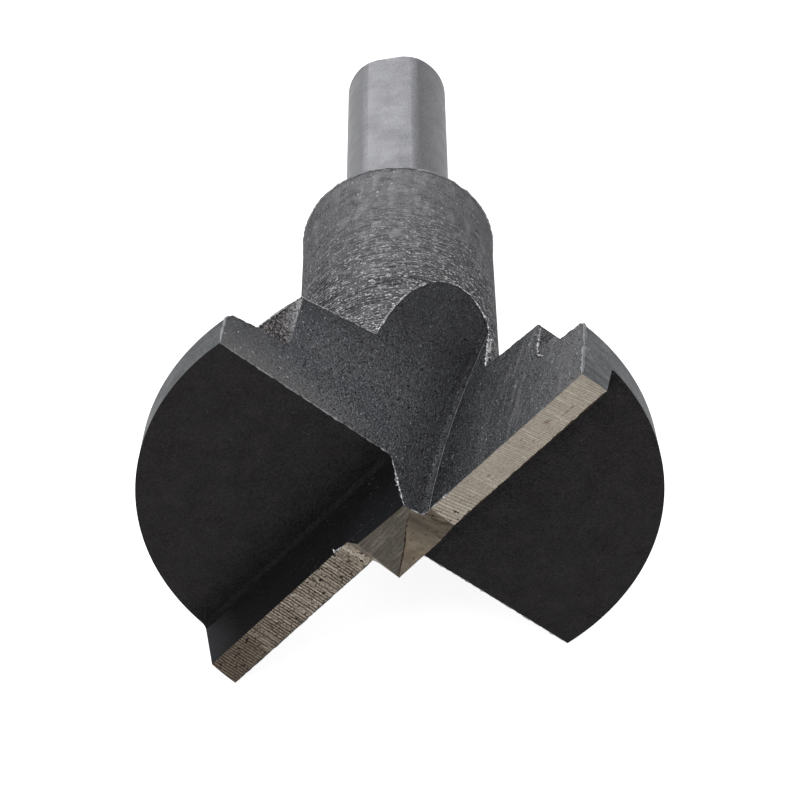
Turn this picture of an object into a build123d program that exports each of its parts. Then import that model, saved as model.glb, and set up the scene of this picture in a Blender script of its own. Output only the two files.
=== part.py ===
import os
from math import atan2, cos, degrees, radians, sin, sqrt, tan

from build123d import *

# A boring bit for hinge holes, milled from one turned steel blank.
# It is drawn upright first: the tool's axis is Z, the shank points up, and z = 0 is the
# flat tip-side face of the two wings. The first lip lies along +X and cuts towards -Y.
# Lengths are in millimetres and angles in degrees.

# Turned blank
head_diameter = 35.0
rim_height = 2.6
rim_back_taper = 0.15
rim_chamfer_width = 0.5
rim_chamfer_height = 0.65
disc_height = 3.55
boss_base_diameter = 30.0
boss_diameter = 25.0
boss_height = 8.45
boss_back_rise = 0.8
hub_diameter = 14.3
hub_height = 29.7
hub_chamfer = 0.25
shank_diameter = 8.0
shank_length = 21.9
shank_chamfer = 0.4
shank_flat_depth = 0.55
shank_flat_azimuth = -50.0

# Ridge that carries the cutting lips and the centre point, proud of the wings' flat face
lip_height = 3.45
lip_lead = 0.12
relief_angle = 8.4
ridge_width = 6.2
ridge_draft = 16.0
ridge_fillet = 0.5
ridge_root = 0.3

# Low centre point, ground by hand in five faces. Each row gives the height at which the
# face meets the axis, its slope, and the direction in which it falls back towards the wings.
point_faces = (
    (4.02, 6.7, 63.0),
    (4.02, 6.5, 71.0),
    (3.97, 3.0, 209.0),
    (5.84, 42.0, 188.0),
    (5.02, 28.8, 24.0),
)

# Chip gullets, each milled in one pass by a disc cutter that is square to the rake face
rake_angle = 8.8
wall_offset = 2.65
cutter_radius = 46.3
cutter_centre_depth = 3.7
cutter_corner = 0.4
cutter_overrun = 4.0
# The first gullet narrows a little outwards. The second gullet is milled a little deeper.
first_wall_taper = 1.0
second_gullet_extra = 0.2

head_radius = head_diameter / 2
hub_radius = hub_diameter / 2
shank_radius = shank_diameter / 2
rim_back_radius = head_radius - rim_back_taper
shank_end = hub_height + shank_length
ridge_half = ridge_width / 2
ridge_foot = ridge_half + 2 * ridge_fillet
point_height = point_faces[0][0]
draft_slope = tan(radians(ridge_draft))
rake_slope = tan(radians(rake_angle))
relief_slope = tan(radians(relief_angle))

# Turned blank: rim, disc back, boss, hub and shank in one revolved outline.
with BuildPart() as blank:
    with BuildSketch(Plane.XZ):
        with BuildLine():
            Polyline(
                (0, 0),
                (head_radius, 0),
                (rim_back_radius, rim_height),
                (rim_back_radius - rim_chamfer_width, rim_height + rim_chamfer_height),
                (boss_base_diameter / 2, disc_height),
                (boss_diameter / 2, boss_height),
                (hub_radius, boss_height + boss_back_rise),
                (hub_radius, hub_height - hub_chamfer),
                (hub_radius - hub_chamfer, hub_height),
                (shank_radius, hub_height),
                (shank_radius, shank_end - shank_chamfer),
                (shank_radius - shank_chamfer, shank_end),
                (0, shank_end),
                close=True,
            )
        make_face()
    revolve(axis=Axis.Z)
    # One flat down the shank gives a grub screw its seat.
    with BuildSketch(Plane.XY.offset(shank_end)):
        with PolarLocations(shank_radius, 1, start_angle=shank_flat_azimuth):
            Rectangle(2 * shank_flat_depth, shank_diameter)
    extrude(amount=-shank_length, mode=Mode.SUBTRACT)

# One cutting lip: its ground land falls back from the cutting edge to a drafted rear wall.
land_rear_y = (ridge_half - draft_slope * (lip_height - relief_slope * lip_lead)) / (
    1 - draft_slope * relief_slope
)
land_rear_z = -lip_height + relief_slope * (land_rear_y + lip_lead)

with BuildPart() as lip:
    with BuildSketch(Plane.YZ):
        with BuildLine():
            Polyline(
                (-lip_lead + rake_slope * (lip_height + ridge_root), ridge_root),
                (-lip_lead, -lip_height),
                (land_rear_y, land_rear_z),
                (ridge_half, 0),
                (ridge_foot, 0),
                (ridge_foot, ridge_root),
                close=True,
            )
        section = make_face()
        fillet(section.vertices().sort_by_distance((ridge_half, 0))[0], ridge_fillet)
    extrude(amount=head_radius)
    Cylinder(head_radius, 2 * point_height, mode=Mode.INTERSECT)

# The centre point starts as the ridge's full section, from rear wall to rear wall.
post_half = ridge_half - draft_slope * point_height
with BuildPart() as point:
    with BuildSketch(Plane.YZ):
        with BuildLine():
            half_section = Polyline(
                (0, -point_height),
                (post_half, -point_height),
                (ridge_half, 0),
                (ridge_foot, 0),
                (ridge_foot, ridge_root),
                (0, ridge_root),
            )
            mirror(half_section, about=Plane.YZ)
        section = make_face()
        corners = section.vertices()
        fillet(
            [corners.sort_by_distance((side * ridge_half, 0))[0] for side in (-1, 1)],
            ridge_fillet,
        )
    extrude(amount=head_radius / 2, both=True)
    # Each face takes off what stands proud of its plane.
    for height, slope, turn in point_faces:
        tilt = Location((0, 0, 0), (0, -slope, 0))
        with Locations(Location((0, 0, -height), (0, 0, turn)) * tilt):
            Box(
                2 * head_diameter,
                2 * head_diameter,
                head_diameter,
                align=(Align.CENTER, Align.CENTER, Align.MAX),
                mode=Mode.SUBTRACT,
            )

# The disc cutter leaves the rake face with its flat side and the gullet wall with its rim.
rake_face = Plane(
    origin=(0, -lip_lead, -lip_height),
    x_dir=(1, 0, 0),
    z_dir=(0, -cos(radians(rake_angle)), sin(radians(rake_angle))),
)
cutter_rise = (lip_height - cutter_centre_depth) / cos(radians(rake_angle))


def gullet_cutter(wall_taper):
    with BuildPart() as cutter:
        with BuildSketch(rake_face):
            with Locations((wall_offset + cutter_radius, cutter_rise)):
                Circle(cutter_radius)
        extrude(amount=head_radius + cutter_overrun, taper=wall_taper)
        corner = cutter.edges().filter_by(GeomType.CIRCLE).sort_by(Axis.Y)[-1]
        fillet(corner, cutter_corner)
    return cutter.part


# The whole bit, upright. Its two lips and its two gullets are a half-turn apart.
with BuildPart() as upright:
    add(blank.part)
    for half_turn in (0, 180):
        add(lip.part, rotation=(0, 0, half_turn))
    add(point.part)
    add(gullet_cutter(first_wall_taper), mode=Mode.SUBTRACT)
    with Locations((second_gullet_extra, -second_gullet_extra)):
        add(gullet_cutter(0), rotation=(0, 0, 180), mode=Mode.SUBTRACT)

# At rest the bit lies with its second gullet down. It stands on the two back corners of the
# rim beside that gullet and on the end of the shank.
lower_lip_lead = lip_lead - second_gullet_extra
lower_wall_offset = wall_offset - second_gullet_extra
rake_corner_y = -lower_lip_lead + rake_slope * (rim_height + lip_height)
rake_corner_azimuth = degrees(atan2(rake_corner_y, sqrt(rim_back_radius**2 - rake_corner_y**2)))
wall_corner_y = -sqrt(rim_back_radius**2 - lower_wall_offset**2)
wall_climb = (
    (rim_height + lip_height) * cos(radians(rake_angle))
    + (wall_corner_y + lower_lip_lead) * sin(radians(rake_angle))
    - cutter_rise
)
wall_corner_x = lower_wall_offset + cutter_radius - sqrt(cutter_radius**2 - wall_climb**2)
wall_corner_azimuth = degrees(atan2(wall_corner_y, wall_corner_x))
gullet_azimuth = (rake_corner_azimuth + wall_corner_azimuth) / 2
gullet_half_angle = radians(rake_corner_azimuth - wall_corner_azimuth) / 2
rest_drop = rim_back_radius * cos(gullet_half_angle) - shank_radius
rest_run = shank_end - shank_chamfer - rim_height
rest_slope = degrees(atan2(rest_drop, rest_run))
gullet_up = Location((0, 0, 0), (0, 0, -90 - gullet_azimuth))
axis_down = Location((0, 0, 0), (-90 - rest_slope, 0, 0))

with BuildPart() as laid:
    with Locations(axis_down * gullet_up):
        add(upright.part)

# The origin is the middle of the bit's footprint, on the surface that it lies on.
box = laid.part.bounding_box()
with BuildPart() as forstner_bit:
    with Locations((-box.center().X, -box.center().Y, -box.min.Z)):
        add(laid.part)

os.makedirs("parts", exist_ok=True)
forstner_bit.part.label = "forstner_bit"
export_step(forstner_bit.part, "parts/forstner_bit.step")
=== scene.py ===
import math
import random

import bmesh
import bpy
from mathutils import Matrix, Vector, noise


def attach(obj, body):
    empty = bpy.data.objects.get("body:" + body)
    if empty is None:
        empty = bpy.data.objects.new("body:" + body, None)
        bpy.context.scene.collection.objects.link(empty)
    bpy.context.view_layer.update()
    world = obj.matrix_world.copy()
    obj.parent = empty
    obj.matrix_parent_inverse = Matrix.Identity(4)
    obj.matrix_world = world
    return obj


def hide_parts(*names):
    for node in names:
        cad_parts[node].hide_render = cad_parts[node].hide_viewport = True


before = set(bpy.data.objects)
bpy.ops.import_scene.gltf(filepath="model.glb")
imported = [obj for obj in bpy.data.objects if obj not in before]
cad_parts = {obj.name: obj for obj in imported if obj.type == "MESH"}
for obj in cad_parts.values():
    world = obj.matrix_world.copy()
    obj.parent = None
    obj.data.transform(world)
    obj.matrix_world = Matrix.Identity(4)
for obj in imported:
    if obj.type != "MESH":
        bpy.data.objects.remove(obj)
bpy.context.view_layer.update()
print("frame loaded")

# The bit is built upright in millimetres: Z is its axis, the shank points up and z = 0 is
# the flat face of the wings. restPose then lays it down where the CAD solid lies.
restPose = {
    "gulletAzimuth": -39.03371,     # degrees, the middle of the upper gullet
    "slope": 10.27895,              # degrees, how far the axis falls towards the shank
    "headOrigin": (0.0, -22.8151, 13.0742),
}

millimetre = 0.001
layDown = (
    Matrix.Translation(Vector(restPose["headOrigin"]) * millimetre)
    @ Matrix.Rotation(math.radians(-90 - restPose["slope"]), 4, "X")
    @ Matrix.Rotation(math.radians(-90 - restPose["gulletAzimuth"]), 4, "Z")
)


def hexToLinear(code):
    channels = [int(code[i:i + 2], 16) / 255 for i in (1, 3, 5)]
    linear = [c / 12.92 if c <= 0.04045 else ((c + 0.055) / 1.055) ** 2.4 for c in channels]
    return (*linear, 1.0)


def addNode(tree, kind, settings=None, links=None):
    # A setting goes to the input of that name or number, and otherwise to the node itself.
    node = tree.nodes.new(kind)
    settings = settings or {}
    for name, value in settings.items():
        if isinstance(name, str) and name not in node.inputs:
            setattr(node, name, value)
    for name, value in settings.items():
        if isinstance(name, int) or name in node.inputs:
            node.inputs[name].default_value = value
    for name, source in (links or {}).items():
        tree.links.new(source, node.inputs[name])
    return node


def newMaterial(name):
    material = bpy.data.materials.new(name)
    material.use_nodes = True
    material.node_tree.nodes.clear()
    return material, material.node_tree


# Each steel finish has a ground colour and layers of marks over it. A layer's marks have a
# size in mm along three directions: "flat" is x, y, z of the upright bit, "round" is around
# the axis, along it and outwards, "sweep" is across the milling arcs, along the wall and
# along the arc, and "lip" is along the lip and across it. One number alone is the size in
# all directions of "flat". Grind lines have a pitch in mm instead, and a wander. A layer
# with neither is even. The band is the stretch of the pattern over which the marks come in,
# and the height in mm raises or sinks them. Zones fade a layer in from their first value in
# mm to their second: x, z, reach (|x|), rear (|y|), radius from the axis, and depth out
# from a rake face.
# Real oxide and blasting grain is under 0.05 mm, too fine to show. It is drawn at 0.13 to
# 0.16 mm, about two pixels. Turning and grinding lines of 0.03 to 0.05 mm are drawn at
# 0.1 mm or a little more.
steelLooks = {
    # Black-oxide steel, wire brushed: deep matte black with a faint brown and grey mottle.
    "wingBlack": {
        "colour": "#29282a", "shade": 0.55, "roughness": 0.6, "metallic": 0.8, "edgeTint": 0.3,
        "layers": [
            # Painted light: the wing is painted lighter towards its rim.
            {"colour": "#343133", "amount": 0.5, "zones": [("radius", 7.0, 15.0)]},
            # Painted shade: the wing is painted darker towards the foot of each lip's rear wall.
            {"colour": "#151416", "amount": 0.75, "zones": [("rear", 6.8, 3.7)]},
            {"size": 2.2, "band": (0.4, 0.65), "colour": "#231f20", "amount": 0.5},
            {"size": 1.0, "band": (0.5, 0.72), "colour": "#383331", "amount": 0.5},
            {"size": 0.14, "band": (0.35, 0.65), "colour": "#3d3b3c", "amount": 0.9,
             "height": 0.015},
            {"size": 0.3, "band": (0.72, 0.8), "colour": "#6a686a", "amount": 0.6},
            {"along": "flat", "size": (0.5, 0.12, 0.3), "band": (0.3, 0.24), "colour": "#0e0d0d",
             "amount": 0.8},
            # More painted shade, blackest at the foot of a lip's rear wall.
            {"colour": "#0f0f10", "amount": 0.38, "zones": [("rear", 5.2, 3.3)]},
        ],
    },
    # Rim turned and then ground: satin grey with fine lines around it and darker smudges.
    "rimGround": {
        "colour": "#8d9092", "shade": 0.55, "roughness": 0.4, "metallic": 0.9, "edgeTint": 0.4,
        "layers": [
            {"along": "round", "size": (2.5, 0.5, 2.0), "band": (0.45, 0.7), "colour": "#6b6e72",
             "amount": 0.8},
            {"along": "round", "size": (2.0, 0.12, 1.0), "band": (0.48, 0.68),
             "colour": "#bcbfc2", "amount": 0.6, "height": 0.006},
            {"size": 0.14, "band": (0.38, 0.66), "colour": "#66696d", "amount": 0.8,
             "height": 0.015},
        ],
    },
    # Skin of the rough casting on the boss: dull, grainy and pitted, with bright high spots.
    "castSkin": {
        "colour": "#5a5757", "shade": 0.7, "roughness": 0.6, "metallic": 0.9, "edgeTint": 0.4,
        "layers": [
            {"size": 0.5, "band": (0.4, 0.6), "colour": "#454344", "amount": 0.8, "height": 0.08},
            {"size": 0.17, "band": (0.42, 0.62), "colour": "#7e7b7b", "amount": 0.8,
             "height": 0.05},
            {"size": 0.2, "band": (0.42, 0.34), "colour": "#1d1b1c", "amount": 0.8,
             "height": -0.05},
            {"size": 0.25, "band": (0.68, 0.74), "colour": "#d0d0d0", "amount": 0.8},
        ],
    },
    # Turned hub under black oxide: short bright arcs of the turning show through the black.
    "hubTurned": {
        "colour": "#5c5c5e", "shade": 0.82, "roughness": 0.5, "metallic": 0.95, "edgeTint": 0.05,
        "layers": [
            {"along": "round", "size": (3.0, 4.0, 3.0), "band": (0.42, 0.66),
             "colour": "#4d4c4b", "amount": 0.7},
            # Painted highlight: the hub is painted lighter towards its shank end.
            {"colour": "#8b8b8d", "amount": 0.68, "zones": [("z", 15.0, 28.0)]},
            {"along": "round", "size": (0.6, 2.0, 2.0), "band": (0.48, 0.68),
             "colour": "#a2a2a4", "amount": 0.6, "zones": [("z", 15.0, 21.0)]},
            {"along": "round", "size": (1.0, 0.5, 1.0), "band": (0.5, 0.36), "colour": "#4a4a4c",
             "amount": 0.6},
            {"size": 0.13, "band": (0.4, 0.62), "colour": "#8a8a8d", "amount": 0.8,
             "height": 0.04},
            {"along": "round", "size": (2.0, 0.13, 0.6), "band": (0.5, 0.4), "colour": "#29292b",
             "amount": 0.65, "height": -0.05, "zones": [("z", 27.0, 17.0)]},
            {"along": "round", "size": (0.7, 0.11, 0.4), "band": (0.55, 0.68),
             "colour": "#c4c4c8", "amount": 0.6, "height": 0.04, "zones": [("z", 29.0, 13.0)]},
            {"along": "round", "size": (0.24, 0.12, 0.24), "band": (0.6, 0.66),
             "colour": "#ffffff", "amount": 0.85, "height": 0.05, "zones": [("z", 27.0, 13.0)]},
            {"size": 0.22, "band": (0.7, 0.75), "colour": "#ffffff", "amount": 0.9},
        ],
    },
    # Ground shank: even satin with hair-fine lines around it.
    "shankGround": {
        "colour": "#97979c", "shade": 0.53, "roughness": 0.39, "metallic": 1.0, "edgeTint": 0.6,
        "layers": [
            # Painted light: the shank is painted a little lighter on one side of the flat and
            # darker on its other side, so the flat's bright band fades out softly.
            {"colour": "#aaaaaf", "amount": 0.9, "zones": [("x", 1.5, 0.6)]},
            {"colour": "#8b8b90", "amount": 0.9, "zones": [("x", 2.4, 3.7)]},
            {"along": "round", "size": (3.0, 0.15, 1.0), "band": (0.42, 0.7),
             "colour": "#87888c", "amount": 0.5, "height": 0.003},
            {"size": 0.16, "band": (0.4, 0.65), "colour": "#aaabad", "amount": 0.6,
             "height": 0.006},
        ],
    },
    # Milled gullet wall: blue-grey satin, evenly speckled, with painted light towards the wing's
    # edge and painted shade deep in the gullet. Cast skin is left on it outside the boss.
    "gulletWall": {
        "colour": "#555558", "shade": 1.0, "roughness": 0.52, "metallic": 0.9, "edgeTint": 0.35,
        "layers": [
            {"size": 3.0, "band": (0.42, 0.62), "colour": "#4b4c50", "amount": 0.6},
            # Painted light near the wing's edge and farther out.
            {"colour": "#71706f", "amount": 0.7, "zones": [("z", 3.2, 0.0), ("radius", 5.0, 9.0)]},
            {"size": 0.13, "band": (0.48, 0.68), "colour": "#84878b", "amount": 0.75,
             "height": 0.04, "zones": [("radius", 24.0, 9.0)]},
            {"size": 0.14, "band": (0.5, 0.36), "colour": "#202022", "amount": 0.78,
             "height": -0.04, "zones": [("radius", 22.0, 8.0)]},
            {"size": 0.3, "band": (0.36, 0.3), "colour": "#141415", "amount": 0.8,
             "height": -0.04, "zones": [("radius", 18.0, 10.0)]},
            {"size": 0.2, "band": (0.68, 0.74), "colour": "#c8ccd2", "amount": 0.7},
            # Painted shade deep in the gullet, and along its crease with the rake face.
            {"colour": "#252527", "amount": 0.58, "zones": [("z", 5.5, 11.5)]},
            {"colour": "#252526", "amount": 0.25, "zones": [("depth", 3.2, 1.8)]},
            # Cast skin: dark and lumpy, with a bright rubbed streak along its inner border; the
            # streak also carries a painted highlight that grows brighter higher up
            {"size": 0.26, "band": (0.62, 0.42), "colour": "#252123", "amount": 0.85,
             "height": -0.14, "zones": [("radius", 12.4, 12.7), ("z", 3.4, 3.8)]},
            {"size": 0.15, "band": (0.52, 0.6), "colour": "#98928f", "amount": 0.8,
             "height": 0.06, "zones": [("radius", 12.4, 12.7), ("z", 3.4, 3.8)]},
            {"size": 0.16, "band": (0.38, 0.54), "colour": "#b9b8ba", "amount": 0.85,
             "height": 0.06,
             "zones": [("radius", 12.3, 12.4), ("radius", 13.6, 12.5), ("z", 4.0, 7.5)]},
        ],
    },
    # Milled rake face: the same grey, with the cutter's long faint arcs.
    "rakeFace": {
        "colour": "#4f5053", "shade": 0.92, "roughness": 0.5, "metallic": 0.9, "edgeTint": 0.4,
        "layers": [
            # Painted light on the outer part of the rake face, and painted shade towards its root.
            {"colour": "#818183", "amount": 0.65, "zones": [("reach", 9.5, 17.0)]},
            {"colour": "#2b2b2d", "amount": 0.85, "zones": [("reach", 7.5, 3.5)]},
            {"along": "sweep", "size": (0.45, 4.0, 5.0), "band": (0.5, 0.66),
             "colour": "#918f8e", "amount": 0.55, "height": 0.008,
             "zones": [("reach", 6.0, 10.0)]},
            {"size": 0.13, "band": (0.48, 0.66), "colour": "#84868a", "amount": 0.7,
             "height": 0.03},
            {"size": 0.14, "band": (0.48, 0.36), "colour": "#242426", "amount": 0.7,
             "height": -0.03},
            {"along": "sweep", "size": (0.12, 1.0, 1.2), "band": (0.7, 0.78),
             "colour": "#d0d2d4", "amount": 0.6, "height": 0.02},
            {"size": 0.22, "band": (0.68, 0.74), "colour": "#d6d8dc", "amount": 0.8},
            # Cast skin outside the boss: dark and grainy, with bright grains spread inwards
            {"size": 0.22, "band": (0.62, 0.42), "colour": "#262426", "amount": 0.85,
             "height": -0.1, "zones": [("radius", 12.6, 12.9), ("z", 4.4, 4.9)]},
            {"size": 0.16, "band": (0.56, 0.64), "colour": "#a5a3a4", "amount": 0.8,
             "height": 0.06, "zones": [("radius", 11.0, 12.6), ("z", 3.6, 5.5)]},
        ],
    },
    # Land of the first lip, fine ground across its width: warm bright steel with hairlines.
    "landFine": {
        "colour": "#a79f94", "shade": 0.7, "roughness": 0.42, "metallic": 1.0, "edgeTint": 0.8,
        "layers": [
            # The wheel's lines are 0.17 mm apart, and half as much again at the inner end.
            {"along": "lip", "pitch": 0.17, "wander": 0.5, "band": (0.7, 0.1),
             "colour": "#7f756a", "amount": 0.65, "height": 0.01, "zones": [("reach", 4.0, 6.5)]},
            {"along": "lip", "pitch": 0.27, "wander": 1.0, "band": (0.4, 0.1),
             "colour": "#6b6156", "amount": 0.7, "height": 0.02, "zones": [("reach", 7.5, 4.5)]},
            {"colour": "#b5ab9d", "amount": 0.2, "zones": [("reach", 7.5, 4.5)]},
            {"along": "lip", "size": (0.6, 6.0, 6.0), "band": (0.4, 0.65), "colour": "#958b7d",
             "amount": 0.35},
            {"along": "lip", "size": (0.12, 2.5, 2.5), "band": (0.5, 0.7), "colour": "#c6bfb2",
             "amount": 0.45, "height": 0.01},
            {"size": 0.14, "band": (0.52, 0.4), "colour": "#7c7367", "amount": 0.5},
            {"size": 0.36, "band": (0.36, 0.29), "colour": "#2c2621", "amount": 0.9,
             "height": -0.03, "zones": [("reach", 9.0, 4.0)]},
            {"along": "flat", "size": (0.9, 0.5, 0.6), "band": (0.36, 0.28), "colour": "#6b5644",
             "amount": 0.6},
        ],
    },
    # Land of the second lip, coarser ground and browner, with small black pits.
    "landCoarse": {
        "colour": "#8c8276", "shade": 0.79, "roughness": 0.46, "metallic": 1.0, "edgeTint": 0.7,
        "layers": [
            {"colour": "#5e5348", "amount": 0.8, "zones": [("reach", 10.0, 14.5)]},
            {"along": "lip", "pitch": 0.23, "wander": 2.0, "band": (0.5, 0.1),
             "colour": "#2a231d", "amount": 0.85, "height": 0.04, "zones": [("reach", 3.0, 4.5)]},
            {"along": "lip", "size": (0.2, 2.5, 2.5), "band": (0.5, 0.66), "colour": "#b8aea2",
             "amount": 0.6, "height": 0.015, "zones": [("reach", 16.0, 10.0)]},
            {"size": 0.14, "band": (0.5, 0.36), "colour": "#3b332c", "amount": 0.7,
             "height": -0.02},
            {"size": 0.28, "band": (0.37, 0.32), "colour": "#14110e", "amount": 0.95,
             "height": -0.05},
        ],
    },
    # Drafted rear wall of a lip: black oxide, painted lighter and bluish at its two ends as a
    # painted sheen.
    "rearWall": {
        "colour": "#272628", "shade": 0.5, "roughness": 0.55, "metallic": 0.8, "edgeTint": 0.3,
        "layers": [
            {"size": 0.16, "band": (0.38, 0.62), "colour": "#353436", "amount": 0.7,
             "height": 0.012},
            {"colour": "#57585b", "amount": 0.7, "zones": [("reach", 14.0, 17.5)]},
            {"colour": "#3e4045", "amount": 0.75,
             "zones": [("reach", 4.5, 1.5), ("z", -1.2, -3.6)]},
            {"size": 0.22, "band": (0.68, 0.76), "colour": "#9a9fa8", "amount": 0.7,
             "zones": [("reach", 8.0, 3.0)]},
        ],
    },
    # Flank of the centre point, hand ground: grey with slightly curved streaks.
    "pointFlank": {
        "colour": "#69635a", "shade": 0.46, "roughness": 0.42, "metallic": 1.0, "edgeTint": 0.7,
        "layers": [
            {"along": "lip", "size": (2.0, 0.16, 2.0), "band": (0.42, 0.62), "colour": "#8c857c",
             "amount": 0.7, "height": 0.012},
            {"along": "flat", "size": (1.2, 0.6, 1.0), "band": (0.4, 0.6), "colour": "#5c5852",
             "amount": 0.6},
            {"size": 0.14, "band": (0.5, 0.7), "colour": "#49453f", "amount": 0.7},
        ],
    },
    # Other ground faces of the point: warmer and brighter, darker and browner beyond x 0.9,
    # lighter near the axis.
    "pointEnd": {
        "colour": "#7e756a", "shade": 0.49, "roughness": 0.42, "metallic": 1.0, "edgeTint": 0.7,
        "layers": [
            {"colour": "#3f372f", "amount": 0.85, "zones": [("x", 0.9, 2.4)]},
            {"colour": "#8b7a66", "amount": 0.6, "zones": [("x", 1.6, 0.6), ("x", -1.4, -0.4)]},
            {"along": "lip", "size": (0.2, 2.0, 2.0), "band": (0.42, 0.66), "colour": "#978c7d",
             "amount": 0.6, "height": 0.01},
            {"size": 0.8, "band": (0.4, 0.6), "colour": "#6e6559", "amount": 0.6},
            {"size": 0.25, "band": (0.35, 0.29), "colour": "#2f2822", "amount": 0.9},
        ],
    },
    # Edge between the point's faces, burnt brown by the grinding wheel.
    "burntEdge": {
        "colour": "#30261f", "shade": 0.75, "roughness": 0.6, "metallic": 0.7, "edgeTint": 0.4,
        "layers": [
            {"size": 0.3, "band": (0.4, 0.6), "colour": "#4e3f33", "amount": 0.8},
        ],
    },
    # Bright raw steel where an edge is worn or a burr stands up.
    "wornEdge": {
        "colour": "#9a9b9d", "shade": 0.85, "roughness": 0.4, "metallic": 1.0, "edgeTint": 0.8,
        "layers": [
            {"size": 0.4, "band": (0.4, 0.6), "colour": "#4a4a4c", "amount": 0.9},
            {"size": 0.14, "band": (0.5, 0.7), "colour": "#ffffff", "amount": 0.8},
        ],
    },
    # Edge rubbed smooth by handling: a soft satin line, brighter in some places.
    "rubbedEdge": {
        "colour": "#9b9c9e", "shade": 0.8, "roughness": 0.5, "metallic": 1.0, "edgeTint": 0.6,
        "layers": [
            {"size": 1.5, "band": (0.4, 0.6), "colour": "#77787b", "amount": 0.8},
            {"size": 0.2, "band": (0.4, 0.6), "colour": "#85868a", "amount": 0.6},
        ],
    },
    # Thin satin line that the cutter's corner leaves along the root of a gullet.
    "rootLine": {
        "colour": "#77787b", "shade": 0.8, "roughness": 0.5, "metallic": 1.0, "edgeTint": 0.6,
        "layers": [
            {"size": 1.5, "band": (0.4, 0.6), "colour": "#4c4d50", "amount": 0.8},
            {"size": 0.2, "band": (0.4, 0.6), "colour": "#5f6063", "amount": 0.6},
        ],
    },
}

# How the marks lie on the upright bit, in mm and degrees
markLayout = {
    "seamTurn": 39.0,                       # puts the seam of "round" under the bit
    "sweepCentre": (48.95, -3.7),           # middle of the milling arcs: reach and z
    "grindLean": 4.0,                       # grind lines lean a little off square to the lip
    "rakeNormal": (0.0, -0.988, 0.153),     # out of a rake face, into its gullet
}

# Hand wear makes the roughness wander a little down and up.
roughWander = {"scale": 0.6, "detail": 3.0, "band": (0.3, 0.7), "down": 0.06, "up": 0.08}


def directionsOf(tree, spot):
    # The four ways in which marks run over the steel, each as a vector in mm, and the
    # measures that zones use.
    parts = addNode(tree, "ShaderNodeSeparateXYZ", {}, {0: spot})
    x, y, z = parts.outputs[0], parts.outputs[1], parts.outputs[2]
    turned = addNode(tree, "ShaderNodeVectorRotate", {
        "rotation_type": "Z_AXIS", "Angle": math.radians(markLayout["seamTurn"])},
        {"Vector": spot})
    turnedParts = addNode(tree, "ShaderNodeSeparateXYZ", {}, {0: turned.outputs[0]})
    angle = addNode(tree, "ShaderNodeMath", {"operation": "ARCTAN2"},
                    {0: turnedParts.outputs[1], 1: turnedParts.outputs[0]})
    flatSpot = addNode(tree, "ShaderNodeCombineXYZ", {}, {0: x, 1: y})
    radius = addNode(tree, "ShaderNodeVectorMath", {"operation": "LENGTH"},
                     {0: flatSpot.outputs[0]})
    arc = addNode(tree, "ShaderNodeMath", {"operation": "MULTIPLY"},
                  {0: angle.outputs[0], 1: radius.outputs[1]})
    roundSpot = addNode(tree, "ShaderNodeCombineXYZ", {},
                        {0: arc.outputs[0], 1: z, 2: radius.outputs[1]})
    reach = addNode(tree, "ShaderNodeMath", {"operation": "ABSOLUTE"}, {0: x})
    rear = addNode(tree, "ShaderNodeMath", {"operation": "ABSOLUTE"}, {0: y})
    centreReach, centreZ = markLayout["sweepCentre"]
    across = addNode(tree, "ShaderNodeMath", {"operation": "SUBTRACT", 1: centreReach},
                     {0: reach.outputs[0]})
    up = addNode(tree, "ShaderNodeMath", {"operation": "SUBTRACT", 1: centreZ}, {0: z})
    sweepFlat = addNode(tree, "ShaderNodeCombineXYZ", {},
                        {0: across.outputs[0], 1: up.outputs[0]})
    sweepRadius = addNode(tree, "ShaderNodeVectorMath", {"operation": "LENGTH"},
                          {0: sweepFlat.outputs[0]})
    sweepSpot = addNode(tree, "ShaderNodeCombineXYZ", {},
                        {0: sweepRadius.outputs[1], 1: y, 2: up.outputs[0]})
    lean = addNode(tree, "ShaderNodeVectorRotate", {
        "rotation_type": "Z_AXIS", "Angle": math.radians(markLayout["grindLean"])},
        {"Vector": spot})
    # The two gullets are a half-turn apart, so y takes the sign of x before the depth.
    side = addNode(tree, "ShaderNodeMath", {"operation": "SIGN"}, {0: x})
    mirrored = addNode(tree, "ShaderNodeMath", {"operation": "MULTIPLY"},
                       {0: y, 1: side.outputs[0]})
    upright = addNode(tree, "ShaderNodeCombineXYZ", {}, {1: mirrored.outputs[0], 2: z})
    depth = addNode(tree, "ShaderNodeVectorMath", {
        "operation": "DOT_PRODUCT", 1: markLayout["rakeNormal"]}, {0: upright.outputs[0]})
    vectors = {"flat": spot, "round": roundSpot.outputs[0], "sweep": sweepSpot.outputs[0],
               "lip": lean.outputs[0]}
    measures = {"x": x, "z": z, "reach": reach.outputs[0], "rear": rear.outputs[0],
                "radius": radius.outputs[1], "depth": depth.outputs[1]}
    return vectors, measures


def shaded(code, look):
    # The oxide and grime on a finish hold back a share of the light.
    return (*[channel * look["shade"] for channel in hexToLinear(code)[:3]], 1.0)


def patternShift(number, seed):
    # Each layer of each finish reads another stretch of the noise.
    return (7.3 * number + seed, 3.1 * seed, 5.7)


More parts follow.
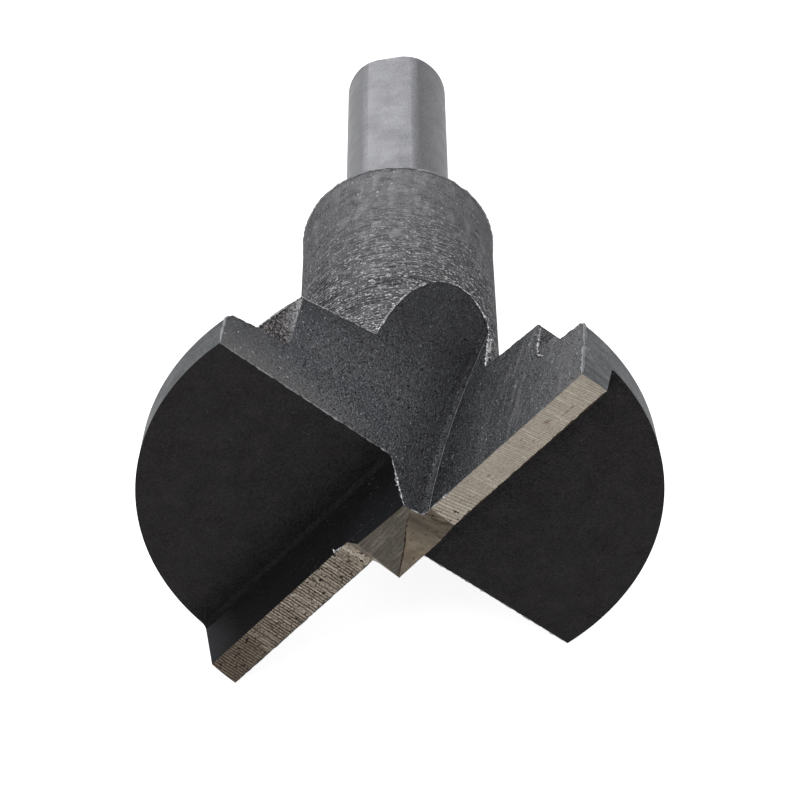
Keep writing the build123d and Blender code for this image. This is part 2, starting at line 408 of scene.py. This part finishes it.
def layerMask(tree, layer, shift, vectors, measures):
    # Where a layer shows, from 0 to 1: its pattern times each of its zones.
    mask = None
    along = vectors[layer.get("along", "flat")]
    if "size" in layer:
        size = layer["size"]
        sizes = size if isinstance(size, tuple) else (size, size, size)
        place = addNode(tree, "ShaderNodeVectorMath", {
            "operation": "MULTIPLY_ADD", 1: tuple(1 / s for s in sizes), 2: shift}, {0: along})
        pattern = addNode(tree, "ShaderNodeTexNoise",
                          {"Scale": 1.0, "Detail": 2.0, "Roughness": 0.5},
                          {"Vector": place.outputs[0]})
    if "pitch" in layer:
        # A wave's own period is pi / 10 at scale 1.
        pattern = addNode(tree, "ShaderNodeTexWave", {
            "bands_direction": "X", "Scale": math.pi / 10 / layer["pitch"],
            "Distortion": layer["wander"], "Detail": 1.0, "Detail Scale": 1.0},
            {"Vector": along})
    if "band" in layer:
        low, high = layer["band"]
        mask = addNode(tree, "ShaderNodeMapRange", {1: low, 2: high},
                       {0: pattern.outputs[0]}).outputs[0]
    for measure, start, end in layer.get("zones", []):
        zone = addNode(tree, "ShaderNodeMapRange", {1: start, 2: end},
                       {0: measures[measure]}).outputs[0]
        mask = zone if mask is None else addNode(
            tree, "ShaderNodeMath", {"operation": "MULTIPLY"}, {0: mask, 1: zone}).outputs[0]
    return mask


def steelMaterial(name, look, seed):
    material, tree = newMaterial(name)
    here = addNode(tree, "ShaderNodeTexCoord")
    # The mesh is already laid down, so its place is turned back to mm on the upright bit.
    spot = addNode(tree, "ShaderNodeMapping", {
        "vector_type": "TEXTURE", "Location": layDown.to_translation(),
        "Rotation": layDown.to_euler(), "Scale": (millimetre, millimetre, millimetre)},
        {"Vector": here.outputs["Object"]})
    vectors, measures = directionsOf(tree, spot.outputs[0])
    colour = None
    height = None
    for number, layer in enumerate(look["layers"]):
        mask = layerMask(tree, layer, patternShift(number, seed), vectors, measures)
        amount = addNode(tree, "ShaderNodeMath", {"operation": "MULTIPLY", 1: layer["amount"]},
                         {0: mask})
        # A colour mix has its two colours at inputs 6 and 7.
        over = addNode(tree, "ShaderNodeMix", {
            "data_type": "RGBA", 6: shaded(look["colour"], look),
            7: shaded(layer["colour"], look)}, {0: amount.outputs[0]})
        if colour:
            tree.links.new(colour, over.inputs[6])
        colour = over.outputs[2]
        if "height" in layer:
            rise = addNode(tree, "ShaderNodeMath", {
                "operation": "MULTIPLY", 1: layer["height"]}, {0: mask})
            if height:
                rise = addNode(tree, "ShaderNodeMath", {"operation": "ADD"},
                               {0: height, 1: rise.outputs[0]})
            height = rise.outputs[0]
    cloud = addNode(tree, "ShaderNodeTexNoise", {
        "Scale": roughWander["scale"], "Detail": roughWander["detail"]},
        {"Vector": spot.outputs[0]})
    low, high = roughWander["band"]
    rough = addNode(tree, "ShaderNodeMapRange", {
        1: low, 2: high, 3: look["roughness"] - roughWander["down"],
        4: look["roughness"] + roughWander["up"]}, {0: cloud.outputs[0]})
    links = {"Base Color": colour, "Roughness": rough.outputs[0]}
    if height:
        bump = addNode(tree, "ShaderNodeBump", {"Strength": 1.0, "Distance": millimetre},
                       {"Height": height})
        links["Normal"] = bump.outputs[0]
    shader = addNode(tree, "ShaderNodeBsdfPrincipled", {
        "Metallic": look["metallic"], "Specular Tint": (*[look["edgeTint"]] * 3, 1.0)}, links)
    addNode(tree, "ShaderNodeOutputMaterial", {}, {"Surface": shader.outputs["BSDF"]})
    return material


finishes = list(steelLooks)
materials = {name: steelMaterial(name, look, seed)
             for seed, (name, look) in enumerate(steelLooks.items())}
print("steel finishes made")

# Lengths in mm and angles in degrees, on the upright bit
bitSizes = {
    "headRadius": 17.5,
    "outline": [
        # radius, height, finish of the run that starts there
        (17.5, 0.0, "rimGround"),
        (17.35, 2.6, "rimGround"),
        (16.85, 3.25, "castSkin"),
        (15.0, 3.55, "castSkin"),
        (12.5, 8.45, "castSkin"),
        (7.15, 9.25, "hubTurned"),
        (7.15, 29.45, "rubbedEdge"),
        (6.9, 29.7, "hubTurned"),
        (4.0, 29.7, "shankGround"),
        (4.0, 51.2, "shankGround"),
        (3.6, 51.6, "shankGround"),
    ],
    "turnedSides": 288,
    "flatAzimuth": -50.0,
    "flatDistance": 3.45,
    "flatWearTurn": 18.0,
    "flatWearDistance": 3.81,
    "flatFrom": 29.7,
    "flatTo": 52.0,
    "flatCutHalf": 3.0,             # the block that cuts the flat: half its width, and its top
    "flatCutTop": 6.0,
    "overlap": 0.003,
    "frontSpare": 0.5,
    "lipBlank": 20.0,               # a lip's length before it is trimmed to the head
    "envelope": (-8.0, 2.0),        # lowest and highest z of the cylinder that trims it
    "lipHeight": 3.45,
    "lipLead": 0.12,
    "reliefAngle": 8.4,
    "ridgeHalf": 3.1,
    "ridgeDraft": 16.0,
    "ridgeFillet": 0.5,
    "ridgeRoot": 0.3,
    "pointFaces": [
        # height on the axis, slope, direction in which it falls back, finish
        (4.02, 6.7, 63.0, "pointEnd"),
        (4.02, 6.5, 71.0, "pointEnd"),
        (3.97, 3.0, 209.0, "pointFlank"),
        (5.84, 42.0, 188.0, "landFine"),
        (5.02, 28.8, 24.0, "pointEnd"),
    ],
    "rakeAngle": 8.8,
    "wallOffset": 2.65,
    "cutterRadius": 46.3,
    "cutterCentreDepth": 3.7,
    "cutterCorner": 0.4,
    "cutterReach": 21.5,
    "cutterSides": 720,
    "filletSteps": 6,
    "firstWallTaper": 1.0,
    "secondGulletExtra": 0.2,
    "weld": 0.0005,                 # corners closer than this become one
    "sharpAngle": 20.0,
}


def newObject(name, bm):
    bmesh.ops.recalc_face_normals(bm, faces=bm.faces)
    mesh = bpy.data.meshes.new(name)
    bm.to_mesh(mesh)
    bm.free()
    for finish in finishes:
        mesh.materials.append(materials[finish])
    obj = bpy.data.objects.new(name, mesh)
    bpy.context.scene.collection.objects.link(obj)
    return obj


def ringSolid(name, rings, bands, firstEnd, lastEnd):
    # A closed solid through rings of points. Each band between two rings has one finish, or
    # a list with a finish for each of its sides.
    bm = bmesh.new()
    loops = [[bm.verts.new(point) for point in ring] for ring in rings]
    bm.faces.new(loops[0]).material_index = finishes.index(firstEnd)
    bm.faces.new(loops[-1]).material_index = finishes.index(lastEnd)
    for low, high, band in zip(loops, loops[1:], bands):
        for i in range(len(low)):
            j = (i + 1) % len(low)
            face = bm.faces.new([low[i], low[j], high[j], high[i]])
            face.material_index = finishes.index(band if isinstance(band, str) else band[i])
    return newObject(name, bm)


def turnedBlank(sizes):
    sides = sizes["turnedSides"]
    rings = [[(radius * math.cos(2 * math.pi * i / sides),
               radius * math.sin(2 * math.pi * i / sides), height) for i in range(sides)]
             for radius, height, finish in sizes["outline"]]
    bands = [finish for radius, height, finish in sizes["outline"]]
    return ringSolid("turnedBlank", rings, bands, "wingBlack", "shankGround")


def prism(name, section, start, end, sideFinishes):
    # section lists (y, z) corners; each side takes the finish of its first corner.
    rings = [[(x, y, z) for y, z in section] for x in (start, end)]
    return ringSolid(name, rings, [sideFinishes], "wingBlack", "wingBlack")


def footFillet(sizes, inset):
    # Hollow arc between a drafted rear wall and the wing's flat face, from the wall outwards.
    # The inset keeps the faces of joined solids from lying exactly in each other.
    radius = sizes["ridgeFillet"]
    draft = math.radians(sizes["ridgeDraft"])
    centreY = sizes["ridgeHalf"] - inset + radius * math.tan((math.pi / 2 - draft) / 2)
    steps = sizes["filletSteps"]
    points = []
    for i in range(steps + 1):
        turn = math.pi - draft - (math.pi / 2 - draft) * i / steps
        points.append((centreY + radius * math.cos(turn),
                       inset - radius + radius * math.sin(turn)))
    return points


def cutterDisc(sizes, taper):
    # The disc's flat side leaves the rake face and its rim the gullet wall. The rim's near
    # corner is rounded.
    sides = sizes["cutterSides"]
    radius = sizes["cutterRadius"]
    corner = sizes["cutterCorner"]
    outline = [(radius - corner, 0.0)]
    for i in range(1, sizes["filletSteps"] + 1):
        turn = math.pi / 2 * i / sizes["filletSteps"]
        outline.append((radius - corner + corner * math.sin(turn),
                        corner - corner * math.cos(turn)))
    reach = sizes["cutterReach"]
    outline.append((radius - reach * math.tan(math.radians(taper)), reach))
    rake = math.radians(sizes["rakeAngle"])
    origin = Vector((0, -sizes["lipLead"], -sizes["lipHeight"]))
    across = Vector((1, 0, 0))
    depth = Vector((0, -math.cos(rake), math.sin(rake)))
    rise = Vector((0, math.sin(rake), math.cos(rake)))
    cutterRise = (sizes["lipHeight"] - sizes["cutterCentreDepth"]) / math.cos(rake)
    centre = origin + across * (sizes["wallOffset"] + radius) + rise * cutterRise
    turns = [2 * math.pi * (i + 0.5) / sides for i in range(sides)]
    rings = [[centre + depth * ringDepth + across * ringRadius * math.cos(turn)
              + rise * ringRadius * math.sin(turn) for turn in turns]
             for ringRadius, ringDepth in outline]
    bands = ["gulletWall"] * (len(rings) - 1)
    return ringSolid("cutterDisc", rings, bands, "rakeFace", "gulletWall")


def applyCut(target, tool, operation):
    modifier = target.modifiers.new("cut", "BOOLEAN")
    modifier.operation = operation
    modifier.solver = "EXACT"
    modifier.material_mode = "INDEX"
    modifier.object = tool
    bpy.context.view_layer.update()
    graph = bpy.context.evaluated_depsgraph_get()
    mesh = bpy.data.meshes.new_from_object(target.evaluated_get(graph))
    target.modifiers.clear()
    target.data = mesh


def moveMesh(obj, degrees, shift=(0, 0, 0)):
    turn = Matrix.Rotation(math.radians(degrees), 4, "Z")
    obj.data.transform(Matrix.Translation(shift) @ turn)
    return obj


def headEnvelope(sizes):
    # Plain cylinder that trims the lips' outer ends just inside the rim
    radius = sizes["headRadius"] - sizes["overlap"]
    low, high = sizes["envelope"]
    bm = bmesh.new()
    bmesh.ops.create_cone(bm, cap_ends=True, segments=sizes["turnedSides"], radius1=radius,
                          radius2=radius, depth=high - low,
                          matrix=Matrix.Translation((0, 0, (low + high) / 2)))
    for face in bm.faces:
        face.material_index = finishes.index("rimGround")
    return newObject("headEnvelope", bm)


def cuttingLip(sizes, envelope, landFinish):
    # A ground land falls back from the cutting edge to the drafted rear wall.
    draft = math.tan(math.radians(sizes["ridgeDraft"]))
    relief = math.tan(math.radians(sizes["reliefAngle"]))
    rakeSlope = math.tan(math.radians(sizes["rakeAngle"]))
    landRearY = ((sizes["ridgeHalf"] - draft * (sizes["lipHeight"] - relief * sizes["lipLead"]))
                 / (1 - draft * relief))
    landRearZ = -sizes["lipHeight"] + relief * (landRearY + sizes["lipLead"])
    root = sizes["ridgeRoot"]
    fillet = footFillet(sizes, sizes["overlap"])
    # The front stands proud of the rake face, so that the cutter trims it.
    frontY = -sizes["lipLead"] - sizes["frontSpare"]
    section = [(frontY + rakeSlope * (sizes["lipHeight"] + root), root),
               (frontY, -sizes["lipHeight"] - relief * sizes["frontSpare"]),
               (landRearY, landRearZ), *fillet, (fillet[-1][0], root)]
    names = ["rakeFace", landFinish, "rearWall"] + ["wingBlack"] * (len(section) - 3)
    lip = prism("lip", section, 0.0, sizes["lipBlank"], names)
    applyCut(lip, envelope, "INTERSECT")
    return lip


def centrePoint(sizes):
    # A full ridge section, ground down by five faces that are each cut off flat
    height = sizes["pointFaces"][0][0]
    draft = math.tan(math.radians(sizes["ridgeDraft"]))
    inset = 2 * sizes["overlap"]
    fillet = footFillet(sizes, inset)
    right = [(sizes["ridgeHalf"] - inset - draft * height, -height), *fillet,
             (fillet[-1][0], sizes["ridgeRoot"] + inset)]
    section = right + [(-y, z) for y, z in reversed(right)]
    names = ["rearWall"] + ["wingBlack"] * (len(section) - 3) + ["rearWall", "pointFlank"]
    half = sizes["headRadius"] / 2
    post = prism("centrePoint", section, -half, half, names)
    bm = bmesh.new()
    bm.from_mesh(post.data)
    for faceHeight, slope, turn, finish in sizes["pointFaces"]:
        slopeTan = math.tan(math.radians(slope))
        normal = Vector((math.cos(math.radians(turn)) * slopeTan,
                         math.sin(math.radians(turn)) * slopeTan, -1))
        result = bmesh.ops.bisect_plane(
            bm, geom=bm.verts[:] + bm.edges[:] + bm.faces[:], plane_co=(0, 0, -faceHeight),
            plane_no=normal.normalized(), clear_outer=True)
        edges = [e for e in result["geom_cut"] if isinstance(e, bmesh.types.BMEdge)]
        filled = bmesh.ops.holes_fill(bm, edges=edges, sides=0)
        for face in filled["faces"]:
            face.material_index = finishes.index(finish)
    bmesh.ops.recalc_face_normals(bm, faces=bm.faces)
    bm.to_mesh(post.data)
    bm.free()
    return post


def shankCut(sizes):
    # A block that leaves the shank's flat, with a worn facet along each of its two edges. It
    # stands on the hub's end, which keeps its own finish.
    wear = math.radians(sizes["flatWearTurn"])
    distance = sizes["flatDistance"]
    edge = (sizes["flatWearDistance"] - distance * math.cos(wear)) / math.sin(wear)
    half = sizes["flatCutHalf"]
    top = sizes["flatCutTop"]
    fall = sizes["flatWearDistance"] / math.cos(wear) - half * math.tan(wear)
    section = [(distance, -edge), (distance, edge), (fall, half), (top, half), (top, -half),
               (fall, -half)]
    rings = [[(x, y, z) for x, y in section] for z in (sizes["flatFrom"], sizes["flatTo"])]
    block = ringSolid("shankCut", rings, ["shankGround"], "hubTurned", "shankGround")
    return moveMesh(block, sizes["flatAzimuth"])


def buildBit(sizes):
    envelope = headEnvelope(sizes)
    firstLip = cuttingLip(sizes, envelope, "landFine")
    secondLip = moveMesh(cuttingLip(sizes, envelope, "landCoarse"), 180)
    post = centrePoint(sizes)
    extra = sizes["secondGulletExtra"]
    firstCutter = cutterDisc(sizes, sizes["firstWallTaper"])
    secondCutter = moveMesh(cutterDisc(sizes, 0.0), 180, (extra, -extra, 0))
    flatCut = shankCut(sizes)

    bit = turnedBlank(sizes)
    for tool in (firstLip, secondLip, post):
        applyCut(bit, tool, "UNION")
    for tool in (firstCutter, secondCutter, flatCut):
        applyCut(bit, tool, "DIFFERENCE")
    for tool in (firstLip, secondLip, post, firstCutter, secondCutter, envelope, flatCut):
        bpy.data.objects.remove(tool)
    return bit


bit = buildBit(bitSizes)
bit.name = "forstnerBit"
bit.data.name = "forstnerBit"
bm = bmesh.new()
bm.from_mesh(bit.data)
bmesh.ops.remove_doubles(bm, verts=bm.verts, dist=bitSizes["weld"])
bmesh.ops.dissolve_degenerate(bm, edges=bm.edges, dist=bitSizes["weld"])
bmesh.ops.delete(bm, geom=[e for e in bm.edges if not e.link_faces], context="EDGES")
openEdges = sum(1 for e in bm.edges if len(e.link_faces) != 2)
print("bit cut, open edges", openEdges, "faces", len(bm.faces))

# Burrs and worn edges are real metal: thin uneven beads along the edges that show them.
edgeWear = {
    "sides": 6,
    "step": 0.12,                   # mm between a bead's rings
    "coarseSwell": (1.6, 2.3),      # how much a bead swells, and in how many waves to a mm
    "fineSwell": (0.9, 6.1),
    "thinnest": 0.15,               # share of the radius that is always left
    "taperSteps": 5,                # a bead thins out over this many rings at each end
    "stray": 0.5,                   # how far it leaves its edge, as a share of the radius
    "rows": [
        # the two finishes that meet there, radius in mm, unevenness, length in mm of the
        # burrs that stand up from it, the bead's own finish
        ("wingBlack", "gulletWall", 0.03, 1.5, 0.0, "rubbedEdge"),
        ("gulletWall", "hubTurned", 0.05, 1.2, 0.0, "wornEdge"),
        ("gulletWall", "castSkin", 0.045, 0.6, 0.0, "wornEdge"),
        ("rearWall", "gulletWall", 0.07, 1.2, 0.2, "wornEdge"),
        ("pointEnd", "gulletWall", 0.035, 1.0, 0.07, "wornEdge"),
        ("rimGround", "rakeFace", 0.13, 0.25, 0.0, "rubbedEdge"),
        ("rimGround", "gulletWall", 0.09, 0.3, 0.0, "rubbedEdge"),
        ("castSkin", "rakeFace", 0.03, 0.8, 0.0, "rootLine"),
        ("hubTurned", "rakeFace", 0.08, 0.9, 0.25, "wornEdge"),
        ("castSkin", "hubTurned", 0.03, 0.5, 0.0, "rootLine"),
        ("landFine", "rakeFace", 0.03, 0.7, 0.0, "rootLine"),
        ("landCoarse", "rakeFace", 0.03, 0.7, 0.0, "rootLine"),
        ("gulletWall", "rakeFace", 0.026, 0.5, 0.0, "rubbedEdge"),
        ("pointFlank", "pointEnd", 0.04, 0.9, 0.0, "burntEdge"),
        ("hubTurned", "rubbedEdge", 0.1, 0.3, 0.0, "rubbedEdge"),
    ],
    "strips": [
        # points in mm on the upright bit, then radius, unevenness, burrs and finish
        ([(6.58, 2.79, 13.97), (6.62, 2.71, 12.83), (6.71, 2.48, 11.52)],
         0.07, 0.9, 0.28, "wornEdge"),
        ([(12.74, 1.59, 7.58), (12.65, 1.25, 5.42), (12.79, 1.04, 4.03), (13.33, 0.94, 3.41)],
         0.11, 0.8, 0.12, "wornEdge"),
        ([(3.25, -12.2, 4.5), (3.2, -12.55, 4.2), (3.2, -12.8, 3.8)],
         0.06, 0.9, 0.08, "wornEdge"),
        ([(2.73, -0.29, -3.42), (2.66, 0.11, -3.66)], 0.05, 0.9, 0.12, "wornEdge"),
        ([(2.75, -0.12, -3.5), (3.42, -0.11, -3.42), (4.4, -0.12, -3.42), (5.3, -0.12, -3.44)],
         0.06, 0.9, 0.15, "wornEdge"),
        ([(3.3, 2.21, -3.11), (17.2, 2.21, -3.11)], 0.03, 1.1, 0.0, "burntEdge"),
        ([(-4.1, -2.3, -3.05), (-3.49, -2.22, -3.06), (-2.77, -2.13, -3.12)],
         0.045, 0.9, 0.25, "wornEdge"),
        ([(-2.77, -2.13, -3.12), (-2.09, -2.0, -3.5), (-1.61, -1.64, -3.85)],
         0.045, 0.9, 0.15, "wornEdge"),
    ],
}

# A burr is a small torn sliver, wider at its root. Width and thickness are shares of its
# length. It goes into the steel by its root, in mm.
burrShape = {
    "width": 0.35,
    "thickness": 0.5,
    "root": 0.05,
    "share": 0.5,                   # of a bead's rings have a burr
    "lengths": (0.4, 1.3),
}


def edgeChains(bm, first, second):
    # Runs of edges between two finishes, each as a list of points
    pair = {finishes.index(first), finishes.index(second)}
    left = {e for e in bm.edges if len(e.link_faces) == 2
            and {f.material_index for f in e.link_faces} == pair}
    chains = []
    while left:
        edge = min(left, key=lambda e: e.index)
        left.discard(edge)
        chain = [edge.verts[0], edge.verts[1]]
        for end in (1, 0):
            while True:
                tip = chain[-1] if end else chain[0]
                following = next((e for e in tip.link_edges if e in left), None)
                if following is None:
                    break
                left.discard(following)
                other = following.other_vert(tip)
                chain.insert(len(chain) if end else 0, other)
        chains.append([v.co.copy() for v in chain])
    return chains


def evenPoints(points, step):
    lengths = [0.0]
    for a, b in zip(points, points[1:]):
        lengths.append(lengths[-1] + (b - a).length)
    count = max(2, int(lengths[-1] / step) + 1)
    placed, segment = [], 0
    for i in range(count):
        want = lengths[-1] * i / (count - 1)
        while segment < len(points) - 2 and lengths[segment + 1] < want:
            segment += 1
        span = lengths[segment + 1] - lengths[segment]
        share = 0.0 if span == 0 else (want - lengths[segment]) / span
        placed.append(points[segment].lerp(points[segment + 1], min(max(share, 0.0), 1.0)))
    return placed


def addBead(bm, points, radius, uneven, seed, finishName):
    finish = finishes.index(finishName)
    sides = edgeWear["sides"]
    stray = edgeWear["stray"]
    coarse, coarseWaves = edgeWear["coarseSwell"]
    fine, fineWaves = edgeWear["fineSwell"]
    rings = []
    for i, point in enumerate(points):
        ahead = points[min(i + 1, len(points) - 1)] - points[max(i - 1, 0)]
        if ahead.length == 0:
            continue
        ahead.normalize()
        side = ahead.orthogonal().normalized()
        other = ahead.cross(side)
        swell = 1 + uneven * coarse * noise.noise(point * coarseWaves + Vector((seed, 0, 0)))
        swell += uneven * fine * noise.noise(point * fineWaves + Vector((0, seed, 0)))
        fromEnd = min(i, len(points) - 1 - i)
        ringRadius = radius * max(swell, edgeWear["thinnest"])
        ringRadius *= min(1.0, (fromEnd + 1) / edgeWear["taperSteps"])
        centre = (point + side * radius * stray * noise.noise(point * 3.7)
                  + other * radius * stray * noise.noise(point * 3.3 + Vector((9, 9, 9))))
        turns = [2 * math.pi * k / sides for k in range(sides)]
        rings.append([bm.verts.new(centre + ringRadius * (side * math.cos(turn)
                                                          + other * math.sin(turn)))
                      for turn in turns])
    for low, high in zip(rings, rings[1:]):
        for k in range(sides):
            j = (k + 1) % sides
            face = bm.faces.new([low[k], low[j], high[j], high[k]])
            face.material_index = finish
            face.smooth = True
    for end in (rings[0], rings[-1]):
        bm.faces.new(end).material_index = finish


def addBurr(bm, root, direction, along, length):
    finish = finishes.index("wornEdge")
    width = along * (length * burrShape["width"])
    thickness = direction.cross(along).normalized() * (length * burrShape["width"])
    thickness *= burrShape["thickness"]
    foot = root - direction * burrShape["root"]
    base = [bm.verts.new(foot + corner) for corner in (width, thickness, -width, -thickness)]
    tip = bm.verts.new(root + direction * length)
    bm.faces.new(base).material_index = finish
    for k in range(4):
        bm.faces.new([base[k], base[(k + 1) % 4], tip]).material_index = finish


def wearAlong(bm, chain, radius, uneven, burr, finishName, seed):
    points = evenPoints(chain, edgeWear["step"])
    addBead(bm, points, radius, uneven, seed, finishName)
    for a, b in zip(points, points[1:]):
        if burr and dice.random() < burrShape["share"]:
            along = (b - a).normalized()
            away = Vector((dice.uniform(-1, 1), dice.uniform(-1, 1), dice.uniform(-1, 1)))
            away = (away - along * away.dot(along)).normalized()
            addBurr(bm, a, away, along, burr * dice.uniform(*burrShape["lengths"]))
    return sum((b - a).length for a, b in zip(points, points[1:]))


beads = bmesh.new()
dice = random.Random(11)
for number, (first, second, radius, uneven, burr, finish) in enumerate(edgeWear["rows"]):
    total = sum(wearAlong(beads, chain, radius, uneven, burr, finish, 3.0 * number)
                for chain in edgeChains(bm, first, second))
    print("edge", first, second, round(total, 1), "mm")
for number, (path, radius, uneven, burr, finish) in enumerate(edgeWear["strips"]):
    wearAlong(beads, [Vector(point) for point in path], radius, uneven, burr, finish,
              40.0 + number)
bm.to_mesh(bit.data)
bm.free()
bit.data.shade_smooth()
bit.data.set_sharp_from_angle(angle=math.radians(bitSizes["sharpAngle"]))

print("bead faces", len(beads.faces))
wear = newObject("wornEdges", beads)
for obj in (bit, wear):
    obj.data.transform(layDown @ Matrix.Scale(millimetre, 4))
    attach(obj, "root")
for vertex in wear.data.vertices:
    vertex.co.z = max(vertex.co.z, 0.0)     # no bead goes into the floor
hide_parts("forstner_bit")
print("bit built")


def raySeesBackground(tree):
    # The white background shows to the camera, and to the steel's reflections too.
    path = addNode(tree, "ShaderNodeLightPath")
    glossy = addNode(tree, "ShaderNodeMath", {"operation": "ADD"},
                     {0: path.outputs["Is Camera Ray"], 1: path.outputs["Is Glossy Ray"]})
    seen = addNode(tree, "ShaderNodeMath", {"operation": "ADD", "use_clamp": True},
                   {0: glossy.outputs[0], 1: path.outputs["Is Transmission Ray"]})
    return seen.outputs[0]


# Floor, sky, lamps and camera
floorSettings = {"size": 3.0, "colour": "#f0f0f0", "cameraGlow": 0.82}
bm = bmesh.new()
bmesh.ops.create_grid(bm, x_segments=1, y_segments=1, size=floorSettings["size"] / 2)
floorMesh = bpy.data.meshes.new("floor")
bm.to_mesh(floorMesh)
bm.free()
floor = bpy.data.objects.new("floor", floorMesh)
bpy.context.scene.collection.objects.link(floor)
material, tree = newMaterial("paleFloor")
diffuse = addNode(tree, "ShaderNodeBsdfDiffuse", {"Color": hexToLinear(floorSettings["colour"])})
glow = addNode(tree, "ShaderNodeMath", {"operation": "MULTIPLY", 1: floorSettings["cameraGlow"]},
               {0: raySeesBackground(tree)})
emission = addNode(tree, "ShaderNodeEmission", {"Color": (1, 1, 1, 1)},
                   {"Strength": glow.outputs[0]})
both = addNode(tree, "ShaderNodeAddShader", {}, {0: diffuse.outputs[0], 1: emission.outputs[0]})
addNode(tree, "ShaderNodeOutputMaterial", {}, {"Surface": both.outputs[0]})
floorMesh.materials.append(material)

skyLevels = {"lighting": 0.4, "seen": 1.0}
world = bpy.data.worlds.new("studio")
bpy.context.scene.world = world
world.use_nodes = True
tree = world.node_tree
tree.nodes.clear()
level = addNode(tree, "ShaderNodeMapRange", {3: skyLevels["lighting"], 4: skyLevels["seen"]},
                {0: raySeesBackground(tree)})
background = addNode(tree, "ShaderNodeBackground", {"Color": (1, 1, 1, 1)},
                     {"Strength": level.outputs[0]})
addNode(tree, "ShaderNodeOutputWorld", {}, {"Surface": background.outputs[0]})

lamps = {
    "backLamp": {"place": (-0.2, 0.75, 0.37), "size": 0.5, "watts": 1.8},
    "topLamp": {"place": (-0.2, -0.05, 0.7), "size": 0.6, "watts": 2.5},
}
for name, settings in lamps.items():
    lamp = bpy.data.lights.new(name, "AREA")
    lamp.shape = "SQUARE"
    lamp.size = settings["size"]
    lamp.energy = settings["watts"]
    obj = bpy.data.objects.new(name, lamp)
    obj.location = settings["place"]
    obj.rotation_euler = (-Vector(settings["place"])).to_track_quat("-Z", "Y").to_euler()
    bpy.context.scene.collection.objects.link(obj)

cameraSettings = {
    "place": (-0.002433147, -0.122050429, 0.137319373),
    "turn": (41.063908, -1.032454, -0.114276),
    "lens": 107.946,
    "sensor": 36.0,
    "clipStart": 0.01,
}
camera = bpy.data.cameras.new("camera")
camera.lens = cameraSettings["lens"]
camera.sensor_width = cameraSettings["sensor"]
camera.clip_start = cameraSettings["clipStart"]
cameraObject = bpy.data.objects.new("camera", camera)
cameraObject.location = cameraSettings["place"]
cameraObject.rotation_euler = [math.radians(a) for a in cameraSettings["turn"]]
bpy.context.scene.collection.objects.link(cameraObject)
bpy.context.scene.camera = cameraObject
bpy.context.scene.view_settings.view_transform = "Standard"

print("scene done")
